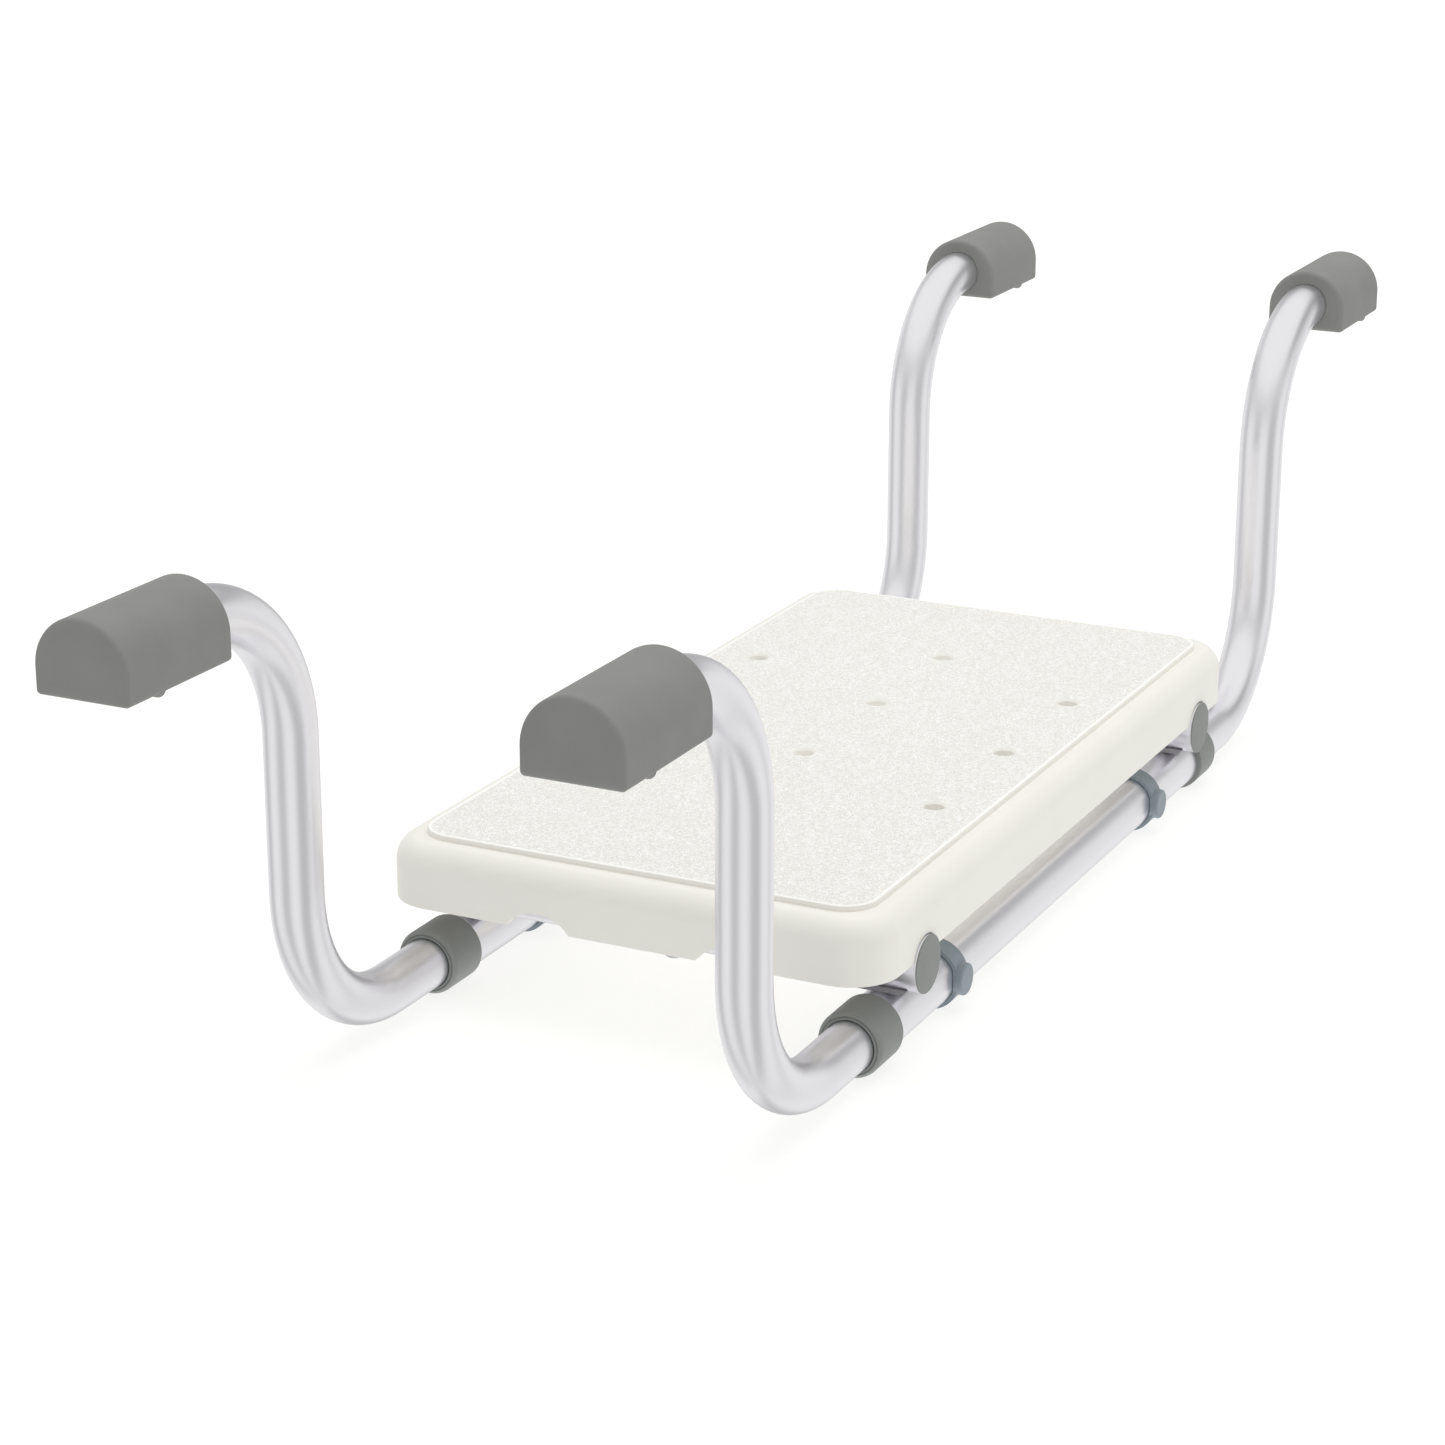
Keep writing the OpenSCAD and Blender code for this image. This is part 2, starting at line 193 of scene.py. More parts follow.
def drawn_tube(name, start, radius, direction, steps, body, node, wall=TUBE_WALL):
    """Tube that starts as a ring about start, faces direction and goes through the steps: a
    vector is a straight run, and (centre, axis, angle) is a bend. Each point keeps its place in
    the unbent tube, for the pattern that follows the drawing."""
    bm = bmesh.new()
    along = bm.verts.layers.float_vector.new("along_tube")
    turn = Vector((0, 0, 1)).rotation_difference(Vector(direction)).to_matrix().to_4x4()
    ring = bmesh.ops.create_circle(bm, segments=TUBE_SEGMENTS, radius=radius)["verts"]
    edges = list(bm.edges)
    for vert in ring:
        vert[along] = vert.co
    bmesh.ops.transform(bm, matrix=Matrix.Translation(start) @ turn, verts=ring)
    for step in steps:
        bend = isinstance(step[0], Vector)
        parts = BEND_PARTS if bend else max(1, round(Vector(step).length / STRAIGHT_PART))
        for _ in range(parts):
            made = bmesh.ops.extrude_edge_only(bm, edges=edges)["geom"]
            ring = verts_in(made)
            edges = edges_between(made, ring)
            if bend:
                centre, axis, angle = step
                bmesh.ops.rotate(bm, cent=centre, verts=ring,
                                 matrix=Matrix.Rotation(angle / parts, 3, axis))
                middle_of_ring = sum((vert.co for vert in ring), Vector()) / len(ring)
                travelled = (middle_of_ring - centre).length * abs(angle) / parts
            else:
                bmesh.ops.translate(bm, vec=Vector(step) / parts, verts=ring)
                travelled = Vector(step).length / parts
            for vert in ring:
                vert[along] = vert[along] + Vector((0, 0, travelled))
    piece = finish_piece(name, bm, [aluminium], body, node)
    add_modifier(piece, "SOLIDIFY", thickness=wall, offset=-1, use_even_offset=True)
    add_modifier(piece, "BEVEL", width=EDGE_BREAK, segments=2, limit_method="ANGLE",
                 angle_limit=math.radians(50))
    return piece


PIN_HOLE_RADIUS = 0.0033
SMALL_SEGMENTS = 32
tube_radius = (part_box("rail_front")[1][2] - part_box("rail_front")[0][2]) / 2


def pierce(piece, start, length=0.0):
    """Cuts a hole for a clip's pin through the front wall of a tube, or a slot of that length
    along X, from a start on the tube's axis. The tube's modifiers are applied with the cut."""
    bm = bmesh.new()
    face_front = Matrix.Rotation(math.pi / 2, 4, "X")
    ring = bmesh.ops.create_circle(
        bm, cap_ends=True, segments=SMALL_SEGMENTS, radius=PIN_HOLE_RADIUS,
        matrix=Matrix.Translation(start) @ face_front)["verts"]
    bmesh.ops.translate(bm, vec=(length, 0, 0),
                        verts=[vert for vert in ring if vert.co.x > start.x])
    made = bmesh.ops.extrude_face_region(bm, geom=list(bm.faces))["geom"]
    bmesh.ops.translate(bm, vec=(0, -2 * tube_radius, 0), verts=verts_in(made))
    bmesh.ops.recalc_face_normals(bm, faces=bm.faces)
    number_alike(bm)
    drill = bpy.data.objects.new("drill", bpy.data.meshes.new("drill"))
    bm.to_mesh(drill.data)
    bm.free()
    bpy.context.scene.collection.objects.link(drill)
    add_modifier(piece, "BOOLEAN", operation="DIFFERENCE", solver="EXACT", object=drill)
    cut = piece.evaluated_get(bpy.context.evaluated_depsgraph_get())
    blank, piece.data = piece.data, bpy.data.meshes.new_from_object(cut)
    piece.modifiers.clear()
    piece.data.set_sharp_from_angle(angle=math.radians(30))
    bpy.data.meshes.remove(blank)
    bpy.data.objects.remove(drill)
    piece.data.name = piece.name


for end in ENDS:
    low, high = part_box(f"rail_{end}")
    centre = middle(f"rail_{end}")
    rail = drawn_tube(f"rail_tube_{end}", Vector((low[0], centre.y, centre.z)), tube_radius,
                      (1, 0, 0), [Vector((high[0] - low[0], 0, 0))], "frame", f"rail_{end}")
    for side in SIDES:
        pierce(rail, Vector((middle(f"clip_{side}_{end}").x, centre.y, centre.z)))

# ---- Cross tubes ----
# Two tubes of the same stock as the rails, laid across them to carry the board. They end
# level with the board's sides, where caps close them.
for side in SIDES:
    low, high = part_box(f"cross_tube_{side}")
    centre = middle(f"cross_tube_{side}")
    drawn_tube(f"cross_bar_{side}", Vector((centre.x, low[1], centre.z)), tube_radius, (0, 1, 0),
               [Vector((0, high[1] - low[1], 0))], "frame", f"cross_tube_{side}")

# ---- Saddles ----
# Small blocks that bed each cross tube on its rail. They are moulded in grey polyethylene,
# with a faint waxy sheen, and are held by the rivets through the crossing.
CORNERS = [(side, end) for side in SIDES for end in ENDS]


def moulded(name, colour, roughness, mottle, grain, depth, tint=0.04, **values):
    """Moulded plastic. Soft patches, mottle metres across, vary its colour by tint, and a grain
    that is sparked into the mould dulls it: grain metres across and depth metres deep."""
    material, tree, shader = start_material(name, colour, roughness, **values)
    place = add_node(tree, "ShaderNodeTexCoord").outputs["Object"]
    patches = add_node(tree, "ShaderNodeTexNoise", links={"Vector": place},
                       values={"Scale": 1 / mottle, "Detail": 3.0})
    shade = add_node(tree, "ShaderNodeMapRange", links={"Value": patches.outputs["Fac"]},
                     values={"From Min": 0.3, "From Max": 0.7,
                             "To Min": 1 - tint, "To Max": 1 + tint})
    mixed = add_node(tree, "ShaderNodeMix", data_type="RGBA", blend_type="MULTIPLY",
                     links={7: shade.outputs["Result"]}, values={0: 1.0, 6: linear(colour)})
    tree.links.new(mixed.outputs[2], shader.inputs["Base Color"])
    specks = add_node(tree, "ShaderNodeTexNoise", links={"Vector": place},
                      values={"Scale": 1 / grain, "Detail": 2.0})
    bump = add_node(tree, "ShaderNodeBump", links={"Height": specks.outputs["Fac"]},
                    values={"Strength": 0.4, "Distance": depth})
    tree.links.new(bump.outputs["Normal"], shader.inputs["Normal"])
    return material


def softened(name, materials, body, node, edge):
    """A merged copy of a CAD node, with its sharp edges eased as a mould eases them."""
    bm = bmesh.new()
    bm.from_mesh(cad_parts[node].data)
    bmesh.ops.remove_doubles(bm, verts=bm.verts, dist=2e-6)
    bmesh.ops.dissolve_limit(bm, angle_limit=math.radians(0.3), verts=bm.verts, edges=bm.edges)
    piece = finish_piece(name, bm, materials, body, node, sharp=25)
    add_modifier(piece, "BEVEL", width=edge, segments=2, limit_method="ANGLE",
                 angle_limit=math.radians(35))
    add_modifier(piece, "WEIGHTED_NORMAL", keep_sharp=True)
    return piece


polyethylene = moulded("polyethylene_moulded_grey", "#94939A", 0.45, 0.01, 0.0004, 0.00004)
for side, end in CORNERS:
    softened(f"saddle_{side}_{end}", [polyethylene], "frame", f"spacer_{side}_{end}", 0.0003)

# ---- Rivets ----
# Zinc-plated steel. Each clinches a crossing of two tubes from inside the upper one, with a
# low head that follows the bore.
zinc = moulded("steel_zinc_plated", "#D4D6D8", 0.35, 0.006, 0.0005, 0.00002, Metallic=1.0)
softened("crossing_rivets", [zinc], "frame", "frame_rivets", 0.0003)

# ---- Screws and washers ----
# A domed socket screw runs up through each cross tube into the board. It is zinc-plated steel,
# and its flat seat beds on a moulded washer that is hollowed to the tube.


def turned(profile, start, axis, segments=TUBE_SEGMENTS):
    """Round piece from a profile of (distance along axis, radius) points about start."""
    bm = bmesh.new()
    axis = Vector(axis)
    side = axis.orthogonal().normalized()
    ring = [bm.verts.new(Vector(start) + axis * along + side * radius)
            for along, radius in profile]
    edges = [bm.edges.new(pair) for pair in zip(ring, ring[1:])]
    bmesh.ops.spin(bm, geom=ring + edges, cent=start, axis=axis, angle=math.tau,
                   steps=segments, use_merge=True)
    return bm


def rounded(along, radius, size, start, count=6):
    """Quarter round of a profile about (along, radius), from the angle start in quarters."""
    return [(along + size * math.cos(math.pi / 2 * (start + i / count)),
             radius + size * math.sin(math.pi / 2 * (start + i / count)))
            for i in range(count + 1)]


def sink(bm, edges, offset):
    """Draws a loop of edges in by an offset, as the wall of a pocket, and closes its floor."""
    made = bmesh.ops.extrude_edge_only(bm, edges=edges)["geom"]
    deep = verts_in(made)
    bmesh.ops.translate(bm, vec=offset, verts=deep)
    bmesh.ops.contextual_create(bm, geom=edges_between(made, deep))


SHANK_RADIUS = 0.002
HEAD_RADIUS = 0.004
HEAD_HEIGHT = 0.0032
HEAD_ROUND = 0.0026
SOCKET_RADIUS = 0.0012
SOCKET_RIM = 0.0001
SOCKET_DEPTH = 0.0016
for side in SIDES:
    low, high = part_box("seat_screws")
    length = high[2] - low[2]
    x = middle(f"washer_{side}").x
    profile = ([(length, 0), (length, SHANK_RADIUS), (HEAD_HEIGHT, SHANK_RADIUS),
                (HEAD_HEIGHT, HEAD_RADIUS)]
               + rounded(HEAD_ROUND, HEAD_RADIUS - HEAD_ROUND, HEAD_ROUND, 1, 10)
               + [(0, SOCKET_RADIUS)])
    bm = turned(profile, Vector((x, 0, low[2])), (0, 0, 1))
    rim = [edge for edge in bm.edges if edge.is_boundary]
    key = bmesh.ops.create_circle(
        bm, segments=6, radius=SOCKET_RADIUS,
        matrix=Matrix.Translation((x, 0, low[2] + SOCKET_RIM)))["verts"]
    hexagon = list({edge for vert in key for edge in vert.link_edges})
    bmesh.ops.bridge_loops(bm, edges=rim + hexagon)
    sink(bm, hexagon, (0, 0, SOCKET_DEPTH))
    finish_piece(f"board_screw_{side}", bm, [zinc], "frame", "seat_screws")
    softened(f"saddle_washer_{side}", [polyethylene], "frame", f"washer_{side}", 0.0003)

# ---- End caps ----
# Push-in plugs that close the cross tubes, each with a thin flat flange. They are moulded in
# the same matt grey polypropylene as the collars.
polypropylene = moulded("polypropylene_moulded_matt_grey", "#878A88", 0.55,
                        0.012, 0.0005, 0.00005)
PLUG_LENGTH = 0.009
PLUG_DEPTH = 0.008
PLUG_WALL = 0.002
CAP_EDGE = 0.00035
for side, end in CORNERS:
    node = f"end_cap_{side}_{end}"
    low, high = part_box(node)
    centre = middle(node)
    length = high[1] - low[1]
    flange_radius = (high[0] - low[0]) / 2
    plug_radius = tube_radius - TUBE_WALL
    start = Vector((centre.x, low[1] if ENDS[end] > 0 else high[1], centre.z))
    profile = ([(PLUG_DEPTH, 0), (PLUG_DEPTH, plug_radius - PLUG_WALL),
                (0, plug_radius - PLUG_WALL), (0, plug_radius), (PLUG_LENGTH, plug_radius),
                (PLUG_LENGTH, flange_radius)]
               + rounded(length - CAP_EDGE, flange_radius - CAP_EDGE, CAP_EDGE, 0)[::-1]
               + [(length, 0)])
    finish_piece(f"tube_plug_{side}_{end}", turned(profile, start, (0, ENDS[end], 0)),
                 [polypropylene], "frame", node)

# ---- Seat board ----
# One ivory polypropylene moulding: a plate with a deep skirt, ribbed below. The tool's face is
# etched with a fine leather grain on the raised panel, and is smooth in the channel round it.
SEAT_IVORY = "#F3F1EB"
GRAIN = 0.0011
GRAIN_DEPTH = 0.0001
PANEL_INSET = 0.0106
PANEL_CORNER = 0.014
PLAIN_BORDER = 0.0012


def leather_grain_with_painted_light(half_x, half_y):
    """Ivory polypropylene with the wrinkles of a leather grain. Its colour carries a painted
    highlight on the ridges and painted shade between them.
    The grain fades out into a plain border 1.2 mm wide round a panel of the given half length and
    half width."""
    material, tree, shader = start_material(
        "polypropylene_leather_grain_with_painted_light", SEAT_IVORY, 0.45)
    place = add_node(tree, "ShaderNodeTexCoord").outputs["Object"]
    folded = add_node(tree, "ShaderNodeVectorMath", operation="ABSOLUTE", links={0: place})
    corner = (half_x - PANEL_CORNER, half_y - PANEL_CORNER, 1)
    beyond = add_node(tree, "ShaderNodeVectorMath", operation="SUBTRACT",
                      links={0: folded.outputs["Vector"]}, values={1: corner})
    clipped = add_node(tree, "ShaderNodeVectorMath", operation="MAXIMUM", links={
        0: beyond.outputs["Vector"]}, values={1: (0, 0, 0)})
    reach = add_node(tree, "ShaderNodeVectorMath", operation="LENGTH", links={
        0: clipped.outputs["Vector"]})
    inside = add_node(tree, "ShaderNodeMapRange", links={"Value": reach.outputs["Value"]}, values={
        "From Min": PANEL_CORNER - 1.5 * PLAIN_BORDER, "From Max": PANEL_CORNER - PLAIN_BORDER,
        "To Min": 1.0, "To Max": 0.0})
    noise = add_node(tree, "ShaderNodeTexNoise", links={"Vector": place},
                     values={"Scale": 1 / GRAIN, "Detail": 2.0, "Roughness": 0.45,
                             "Distortion": 1.6})
    ridges = add_node(tree, "ShaderNodeMapRange", links={"Value": noise.outputs["Fac"]},
                      values={"From Min": 0.42, "From Max": 0.56}, interpolation_type="SMOOTHSTEP")
    height = add_node(tree, "ShaderNodeMapRange", values={"To Min": 1.0}, links={
        "Value": inside.outputs["Result"], "To Max": ridges.outputs["Result"]})
    # Painted light: the ridges get a paler tone as a painted highlight, and the hollows a darker
    # tone as painted shade, following the grain's relief
    shade = add_node(tree, "ShaderNodeMix", data_type="RGBA", links={0: height.outputs["Result"]},
                     values={6: linear("#ECE9E2"), 7: linear("#FFFFFD")})
    tree.links.new(shade.outputs[2], shader.inputs["Base Color"])
    bump = add_node(tree, "ShaderNodeBump", links={"Height": height.outputs["Result"]},
                    values={"Strength": 1.0, "Distance": GRAIN_DEPTH})
    tree.links.new(bump.outputs["Normal"], shader.inputs["Normal"])
    return material


PANEL_RISE = 0.0012
CHANNEL_DEPTH = 0.0009
TOLERANCE = 0.0001
low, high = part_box("seat_board")
board_half = (Vector(high) - Vector(low)) / 2
smooth_ivory = moulded("polypropylene_moulded_smooth_ivory", SEAT_IVORY, 0.38,
                       0.03, 0.0006, 0.00002, tint=0.012)
grained_ivory_painted_light = leather_grain_with_painted_light(board_half.x - PANEL_INSET, board_half.y - PANEL_INSET)
board = softened("seat_moulding", [smooth_ivory, grained_ivory_painted_light], "frame", "seat_board", 0.0003)
for face in board.data.polygons:
    if face.center.z > high[2] - TOLERANCE and face.normal.z > 0.99:
        face.material_index = 1
# The round edge is sunk round the panel to a flat channel, with a soft shoulder outside it
ledge_z = high[2] - PANEL_RISE
for vertex in board.data.vertices:
    if ledge_z - CHANNEL_DEPTH < vertex.co.z < ledge_z + TOLERANCE:
        vertex.co.z = ledge_z - CHANNEL_DEPTH

# ---- Collars ----
# Bushes pressed over the rails' ends, in matt grey polypropylene. The outer edge is well
# rounded, and a thin lip round the bore wipes the arm.
LIP = 0.005
LIP_RING = 0.0011
LIP_HEIGHT = 0.003
COLLAR_EDGE = 0.0026
COLLAR_BREAK = 0.0003
for side, end in CORNERS:
    node = f"collar_{side}_{end}"
    low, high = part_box(node)
    centre = middle(node)
    length, radius = high[0] - low[0], (high[2] - low[2]) / 2
    start = Vector((low[0] if SIDES[side] > 0 else high[0], centre.y, centre.z))
    bore = radius - LIP_HEIGHT
    outer_round = rounded(length - COLLAR_EDGE, radius - COLLAR_EDGE, COLLAR_EDGE, 0, 10)[::-1]
    # The round stops three points short of the front face, where the lip's ring stands
    profile = ([(0, tube_radius), (0, radius - COLLAR_BREAK), (COLLAR_BREAK, radius)]
               + outer_round[:-3]
               + [(length - 2 * COLLAR_BREAK, bore + LIP_RING),
                  (length, bore + LIP_RING - COLLAR_BREAK),
                  (length, bore + COLLAR_BREAK), (length - COLLAR_BREAK, bore),
                  (length - LIP, bore), (length - LIP, tube_radius), (0, tube_radius)])
    finish_piece(f"rail_collar_{side}_{end}", turned(profile, start, (SIDES[side], 0, 0)),
                 [polypropylene], "frame", node)

# ---- Arms ----
# Each arm is one length of smaller tube, bent up out of the rail and out again over the rim.
# It is the same satin anodised aluminium, and it slides in the rail.
BEND_RADIUS = 0.0595
ARM_WALL = 0.0015
SLOT_INWARD = 0.04
SLOT_OUTWARD = 0.02
for side, end in CORNERS:
    node = f"arm_{side}_{end}"
    out = SIDES[side]
    low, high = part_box(node)
    arm_radius = (high[1] - low[1]) / 2
    inner, outer = (low[0], high[0]) if out > 0 else (high[0], low[0])
    y = middle(node).y
    low_z, high_z = low[2] + arm_radius, high[2] - arm_radius
    # The pad's inner face is where the upper bend ends
    pad_low, pad_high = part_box(f"pad_{side}_{end}")
    stub = pad_low[0] if out > 0 else pad_high[0]
    bend_x = stub - out * 2 * BEND_RADIUS
    axis = Vector((0, -out, 0))
    arm = drawn_tube(
        f"bent_arm_{side}_{end}", Vector((inner, y, low_z)), arm_radius, (out, 0, 0),
        [Vector((bend_x - inner, 0, 0)),
         (Vector((bend_x, y, low_z + BEND_RADIUS)), axis, math.pi / 2),
         Vector((0, 0, high_z - low_z - 2 * BEND_RADIUS)),
         (Vector((stub, y, high_z - BEND_RADIUS)), axis, -math.pi / 2),
         Vector((outer - stub, 0, 0))],
        f"arm_{side}_{end}", node, wall=ARM_WALL)
    # The slot lets the clip's pin stand in at each of the arm's settings
    pin_x = abs(middle(f"clip_{side}_{end}").x)
    slot_ends = [out * (pin_x - SLOT_INWARD), out * (pin_x + SLOT_OUTWARD)]
    pierce(arm, Vector((min(slot_ends), y, low_z)), SLOT_INWARD + SLOT_OUTWARD)

# ---- Pads ----
# Rubber feet pushed over the arms' ends: domed above, flat below to sit on the rim, with a
# half-round bead across the underside that grips the rim's edge. The rubber is matt grey.
rubber = moulded("rubber_moulded_matt_grey", "#888987", 0.62, 0.02, 0.0005, 0.00006,
                 Specular_IOR_Level=0.3)
PAD_CROWN = 0.0025
PAD_BELOW = 0.0123
PAD_FILLET = 0.0018
PAD_DOME = 0.0007
PAD_DOME_WIDTH = 0.0035
PAD_ARC = 48
PAD_BORE_GAP = 0.0001
PAD_END_WALL = 0.005
PAD_EDGE_ANGLE = math.radians(60)
BEAD_PLACE = 0.040
BEAD_RADIUS = 0.0027
BEAD_SHORT = 0.0003
BEAD_END = 0.0022


def faces_at(bm, x):
    """The faces that lie in a plane across X."""
    return [face for face in bm.faces if all(abs(vert.co.x - x) < 1e-6 for vert in face.verts)]


def pad_body(inner_x, y, axis_z, half, reach):
    """Block pulled from a D-shaped outline, with a low dome on its outer end. Every edge is
    filleted but the seams between the narrow facets of the crown."""
    bm = bmesh.new()
    arch = [(y + half * math.cos(math.pi * i / PAD_ARC),
             axis_z - PAD_CROWN + half * math.sin(math.pi * i / PAD_ARC))
            for i in range(PAD_ARC + 1)]
    under_z = axis_z - PAD_BELOW
    outline = [(y + half, under_z)] + arch + [(y - half, under_z)]
    face = bm.faces.new([bm.verts.new((inner_x, a, z)) for a, z in outline])
    far_face = bmesh.ops.extrude_face_region(bm, geom=[face])["geom"]
    bmesh.ops.translate(bm, vec=(reach, 0, 0), verts=verts_in(far_face))
    bmesh.ops.recalc_face_normals(bm, faces=bm.faces)
    sharp = [edge for edge in bm.edges if edge.calc_face_angle() > PAD_EDGE_ANGLE]
    bmesh.ops.bevel(bm, geom=sharp, offset=PAD_FILLET, segments=6, profile=0.5,
                    affect="EDGES", material=-1)
    bmesh.ops.inset_region(bm, faces=faces_at(bm, inner_x + reach),
                           thickness=PAD_DOME_WIDTH, depth=PAD_DOME)
    return bm


def bore_pad(bm, inner_x, y, axis_z, radius, depth):
    """Opens the inner face to a blind bore that fits over the arm. A thin rim is kept flat round
    the face, so that its long triangles don't catch the fillet's shading."""
    inner_face = faces_at(bm, inner_x)
    bmesh.ops.inset_region(bm, faces=inner_face, thickness=PAD_BORE_GAP)
    rim = list(inner_face[0].edges)
    bmesh.ops.delete(bm, geom=inner_face, context="FACES_ONLY")
    ring = bmesh.ops.create_circle(
        bm, segments=TUBE_SEGMENTS, radius=radius + PAD_BORE_GAP,
        matrix=Matrix.Translation((inner_x, y, axis_z))
        @ Matrix.Rotation(math.pi / 2, 4, "Y"))["verts"]
    hole = list({edge for vert in ring for edge in vert.link_edges})
    bmesh.ops.triangle_fill(bm, edges=rim + hole, use_beauty=True)
    sink(bm, hole, (depth, 0, 0))


def add_bead(bm, centre, length):
    """Half-round bead along Y, whose ends are rounded off."""
    bead = bmesh.ops.create_cone(
        bm, segments=SMALL_SEGMENTS, radius1=BEAD_RADIUS, radius2=BEAD_RADIUS, depth=length,
        cap_ends=True,
        matrix=Matrix.Translation(centre) @ Matrix.Rotation(math.pi / 2, 4, "X"))["verts"]
    ends = {edge for vert in bead for edge in vert.link_edges
            if edge.calc_face_angle() > PAD_EDGE_ANGLE}
    bmesh.ops.bevel(bm, geom=list(ends), offset=BEAD_END, segments=5, profile=0.5,
                    affect="EDGES", material=-1)


for side, end in CORNERS:
    node = f"pad_{side}_{end}"
    out = SIDES[side]
    low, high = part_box(node)
    half = (high[1] - low[1]) / 2
    length = high[0] - low[0]
    arm_low, arm_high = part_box(f"arm_{side}_{end}")
    arm_radius = (arm_high[1] - arm_low[1]) / 2
    axis_z = arm_high[2] - arm_radius
    inner_x = low[0] if out > 0 else high[0]
    y = middle(node).y
    bm = pad_body(inner_x, y, axis_z, half, out * (length - PAD_DOME))
    bore_pad(bm, inner_x, y, axis_z, arm_radius, out * (length - PAD_END_WALL))
    add_bead(bm, (inner_x + out * BEAD_PLACE, y, low[2] + BEAD_RADIUS), 2 * half - 2 * BEAD_SHORT)
    piece = finish_piece(f"rim_pad_{side}_{end}", bm, [rubber], f"arm_{side}_{end}", node)
    add_modifier(piece, "WEIGHTED_NORMAL", keep_sharp=True)

# ---- Clips ----
# Sprung bands that straddle the rails, each with a thumb button in front and a pin behind it
# that locks the arm. They are moulded in blue-grey acetal, smoother than the rest.
acetal = moulded("acetal_moulded_blue_grey", "#87929A", 0.4, 0.01, 0.0004, 0.00003)
for side, end in CORNERS:
    node = f"clip_{side}_{end}"
    softened(f"lock_{node}", [acetal], node, node, 0.0004)

# ---- Studio ----
# A white floor that keeps the seat's soft shadow, with a soft box above, a small one in front
# and a lit table below. The tubes mirror a studio with a bright ceiling, a dark wall and tall
# white panels round the seat.
WHITE = "#FEFEFC"


def stage_piece(name, bm, material):
    """A thing of the studio, which isn't part of the seat."""
    mesh = bpy.data.meshes.new(name)
    bm.to_mesh(mesh)
    bm.free()
    mesh.materials.append(material)
    thing = bpy.data.objects.new(name, mesh)
    bpy.context.scene.collection.objects.link(thing)
    return thing


# Only the camera sees the floor, so the light from below reaches the seat's underside
FLOOR_SHOWS = 0.3
FLOOR_GLOW = 1.12
FLOOR_SIZE = 20
FADE_START, FADE_END = 0.7, 2.2
floor_paint, tree, shader = start_material("floor_white_paint", "#FCFCFB", 0.9)
shader.inputs["Specular IOR Level"].default_value = 0.0
distance = add_node(tree, "ShaderNodeVectorMath", operation="LENGTH", links={
    0: add_node(tree, "ShaderNodeTexCoord").outputs["Object"]})
near = add_node(tree, "ShaderNodeMapRange", interpolation_type="SMOOTHSTEP",
                links={"Value": distance.outputs["Value"]},
                values={"From Min": FADE_START, "From Max": FADE_END,
                        "To Min": FLOOR_SHOWS, "To Max": 0.0})
glow = add_node(tree, "ShaderNodeEmission", values={"Color": linear(WHITE), "Strength": FLOOR_GLOW})
lit = add_node(tree, "ShaderNodeMixShader", links={
    0: near.outputs["Result"], 1: glow.outputs["Emission"], 2: shader.outputs["BSDF"]})
tree.links.new(lit.outputs["Shader"], tree.nodes["Material Output"].inputs["Surface"])
floor_mesh = bmesh.new()
bmesh.ops.create_grid(floor_mesh, x_segments=1, y_segments=1, size=FLOOR_SIZE)
floor = stage_piece("floor", floor_mesh, floor_paint)
floor.visible_glossy = False
floor.visible_diffuse = False
floor.visible_shadow = False

# Light that falls on the seat, and what its tubes mirror. Directions and widths are in degrees
# round the seat, and a height is the sine of an angle above the floor.
FROM_BELOW = 0.9
FROM_ABOVE = 0.7
CEILING = 0.92
DARK_WALL = 0.34
SIDE_WALLS = 0.66
DARK_DIRECTION = 346
DARK_EDGE, DARK_CORE = 80, 30
BETWEEN_PANELS = 0.52
PANEL_WHITE = 0.9
PANEL_DIRECTIONS = (60, 130, 206, 292, 345)
PANEL_EDGE, PANEL_CORE = 30, 10
PANELS_END, WALLS_START = 0.06, 0.4
WALLS_END, CEILING_START = 0.46, 0.6
world = bpy.data.worlds.new("studio")
world.use_nodes = True
bpy.context.scene.world = world
tree = world.node_tree
tree.nodes["Background"].inputs["Color"].default_value = linear(WHITE)
direction = add_node(tree, "ShaderNodeTexCoord").outputs["Generated"]
height = add_node(tree, "ShaderNodeSeparateXYZ", links={"Vector": direction}).outputs["Z"]
flat = add_node(tree, "ShaderNodeVectorMath", operation="MULTIPLY", links={0: direction},
                values={1: (1, 1, 0)}).outputs["Vector"]
level = add_node(tree, "ShaderNodeVectorMath", operation="NORMALIZE",
                 links={0: flat}).outputs["Vector"]


def toward(angle, edge, core, elsewhere, there):
    """Strength that goes from elsewhere, at the angle edge off a direction, to there at core."""
    heading = (math.cos(math.radians(angle)), math.sin(math.radians(angle)), 0)
    facing = add_node(tree, "ShaderNodeVectorMath", operation="DOT_PRODUCT",
                      links={0: level}, values={1: heading})
    return add_node(tree, "ShaderNodeMapRange", interpolation_type="SMOOTHSTEP",
                    links={"Value": facing.outputs["Value"]},
                    values={"From Min": math.cos(math.radians(edge)),
                            "From Max": math.cos(math.radians(core)),
                            "To Min": elsewhere, "To Max": there}).outputs["Result"]


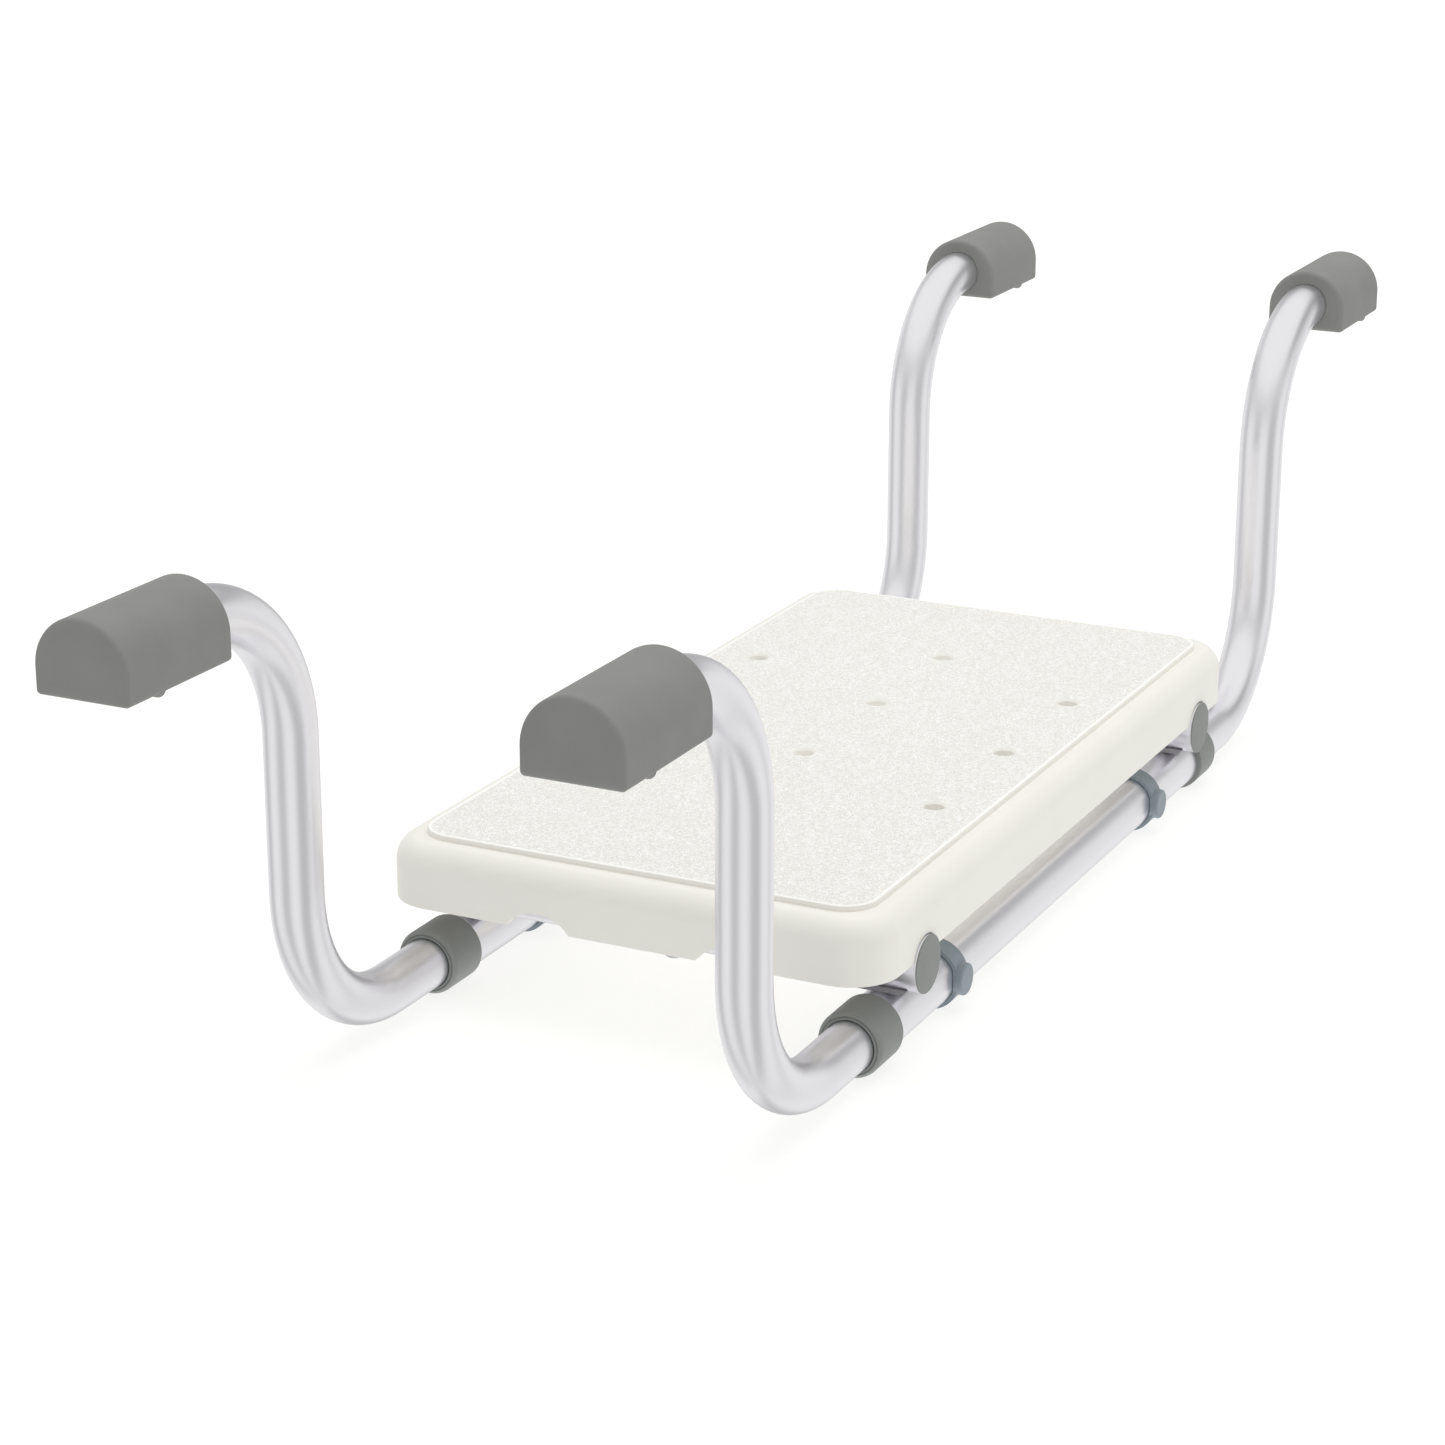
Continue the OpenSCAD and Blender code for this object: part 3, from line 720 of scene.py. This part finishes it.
panels = toward(PANEL_DIRECTIONS[0], PANEL_EDGE, PANEL_CORE, BETWEEN_PANELS, PANEL_WHITE)
for angle in PANEL_DIRECTIONS[1:]:
    panel = toward(angle, PANEL_EDGE, PANEL_CORE, BETWEEN_PANELS, PANEL_WHITE)
    panels = add_node(tree, "ShaderNodeMath", operation="MAXIMUM",
                      links={0: panels, 1: panel}).outputs["Value"]
dark_wall = toward(DARK_DIRECTION, DARK_EDGE, DARK_CORE, SIDE_WALLS, DARK_WALL)
walls = add_node(tree, "ShaderNodeMapRange", interpolation_type="SMOOTHSTEP",
                 links={"Value": height, "To Min": panels, "To Max": dark_wall},
                 values={"From Min": PANELS_END, "From Max": WALLS_START})
mirrored = add_node(tree, "ShaderNodeMapRange", interpolation_type="SMOOTHSTEP",
                    links={"Value": height, "To Min": walls.outputs["Result"]},
                    values={"From Min": WALLS_END, "From Max": CEILING_START,
                            "To Max": CEILING})
rays = add_node(tree, "ShaderNodeLightPath")
shiny = add_node(tree, "ShaderNodeMath", operation="MAXIMUM", links={
    0: rays.outputs["Is Glossy Ray"], 1: rays.outputs["Is Transmission Ray"]})
room = add_node(tree, "ShaderNodeMapRange", links={"Value": height}, values={
    "From Min": -0.3, "From Max": 0.3, "To Min": FROM_BELOW, "To Max": FROM_ABOVE})
mirror_or_room = add_node(tree, "ShaderNodeMapRange", links={
    "Value": shiny.outputs["Value"], "To Min": room.outputs["Result"],
    "To Max": mirrored.outputs["Result"]})
strength = add_node(tree, "ShaderNodeMapRange", links={
    "Value": rays.outputs["Is Camera Ray"], "To Min": mirror_or_room.outputs["Result"]},
    values={"To Max": 1.0})
tree.links.new(strength.outputs["Result"], tree.nodes["Background"].inputs["Strength"])

# Name, place, width in metres and power in watts of each lamp. The lit table shines up through
# the floor, between the ribs of the board, whose underside the rails mirror.
LAMPS = (("top_soft_box", Vector((0.3, 0.0, 1.9)), 1.8, 16.5),
         ("side_soft_box", Vector((0.6, -1.7, 0.6)), 1.4, 1.4),
         ("lit_table", Vector((0.0, -0.1, -0.9)), 1.0, 4.5))
for name, place, size, power in LAMPS:
    light = bpy.data.lights.new(name, "AREA")
    light.energy = power
    light.size = size
    lamp = bpy.data.objects.new(name, light)
    turn = place.to_track_quat("Z", "Y").to_matrix().to_4x4()
    lamp.matrix_world = Matrix.Translation(place) @ turn
    lamp.visible_glossy = False
    bpy.context.scene.collection.objects.link(lamp)

bpy.context.scene.view_settings.view_transform = "Standard"
